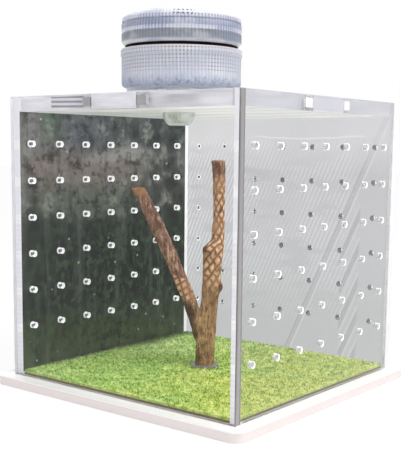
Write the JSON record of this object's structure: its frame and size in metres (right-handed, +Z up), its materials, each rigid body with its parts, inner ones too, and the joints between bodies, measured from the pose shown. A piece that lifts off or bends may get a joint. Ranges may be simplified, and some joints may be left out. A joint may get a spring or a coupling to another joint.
{
  "type": "spider enclosure",
  "caption": "Clear cube enclosure for a small spider on a white base, with turf, a forked branch, vented walls, a magnetic lift-off lid and a screw-on nest jar over a feeding port.",
  "frame": {"origin": "centre of the base plate's underside, on the surface that the enclosure stands on", "axes": "+Z up, +Y from the plain front panel to the vented back panel, +X to the right seen from the front"},
  "size_m": [0.11, 0.11, 0.1316],
  "materials": {
    "white_base": "gloss white cast acrylic",
    "clear_wall": "clear cast acrylic with polished edges",
    "clear_lid": "clear cast acrylic with sawn edges",
    "dark_film": "dark mottled film",
    "magnet_nickel": "nickel-plated",
    "turf_backing": "dull brown latex backing",
    "turf_blades": "green short-cut turf",
    "branch_wood": "natural bark with tan patches",
    "screw_steel": "zinc-plated",
    "clear_fittings": "clear, smooth",
    "clear_jar": "clear moulded plastic with a faint blue-grey cast",
    "gasket_rubber": "matt black"
  },
  "bodies": {
    "root": {"base_plate": "white_base", "front_panel": "clear_wall", "back_panel": "clear_wall", "left_panel": "clear_wall", "right_panel": "clear_wall", "background_film": "dark_film", "wall_magnets": "magnet_nickel", "turf_backing": "turf_backing", "turf_pile": "turf_blades", "branch": "branch_wood", "branch_ring": "clear_fittings", "branch_screw": "screw_steel"},
    "lid": {"lid_panel": "clear_lid", "lid_magnets": "magnet_nickel", "jar_seat": "clear_fittings", "feed_nozzle": "clear_fittings", "jar_socket": "clear_jar"},
    "gasket": {"jar_gasket": "gasket_rubber"},
    "jar": {"nest_jar": "clear_jar"}
  },
  "joints": [
    {"name": "lid_lift", "type": "slide", "parent": "root", "child": "lid", "axis": [0, 0, 1], "range_m": [0, 0.04]},
    {"name": "jar_rise", "type": "slide", "parent": "lid", "child": "gasket", "axis": [0, 0, 1], "range_m": [0, 0.0072]},
    {"name": "jar_turn", "type": "hinge", "parent": "gasket", "child": "jar", "pos_m": [0, -0.0158, 0.12], "axis": [0, 0, 1], "range_deg": [0, 1080]}
  ],
  "couplings": [
    {"joint": "jar_rise", "follows": "jar_turn", "m_per_rad": 0.00038197}
  ]
}
